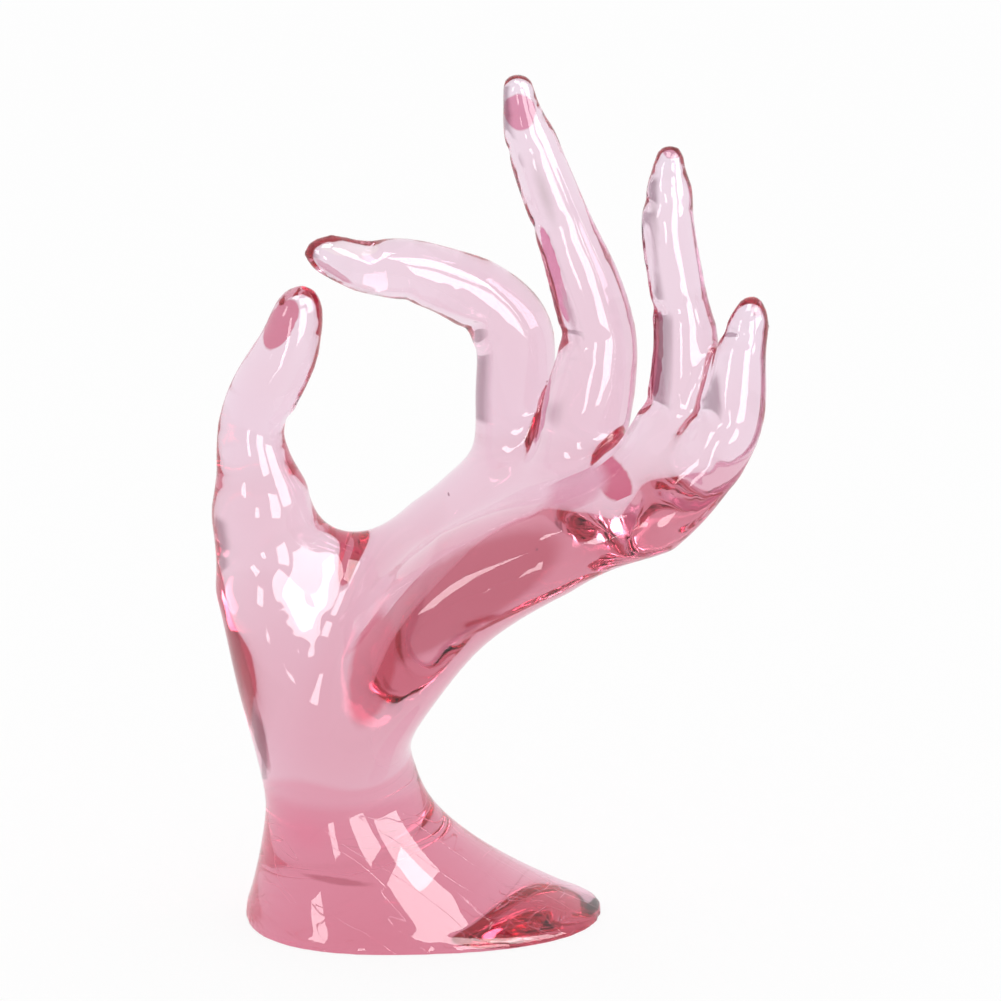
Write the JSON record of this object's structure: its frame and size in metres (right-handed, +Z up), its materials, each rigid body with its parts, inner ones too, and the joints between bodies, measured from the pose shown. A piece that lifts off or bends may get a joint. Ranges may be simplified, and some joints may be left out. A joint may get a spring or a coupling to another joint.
{
  "type": "hand jewelry display",
  "caption": "Left hand on a flared foot, thumb and index finger nearly closing a ring, cast in clear pink resin to hold rings, bracelets and chains.",
  "frame": {"origin": "middle of the foot's flat underside, on the surface it stands on", "axes": "+Z up; +X from the palm's side towards the back of the hand and the foot's long tail; +Y from the little finger's side towards the thumb and index finger's side"},
  "size_m": [0.1051, 0.0533, 0.1631],
  "materials": {
    "resin": "clear pink tinted resin, polished and glossy, see-through"
  },
  "bodies": {
    "root": {"foot": "resin", "palm": "resin", "thumb": "resin", "index_finger": "resin", "middle_finger": "resin", "ring_finger": "resin", "little_finger": "resin"}
  },
  "joints": []
}
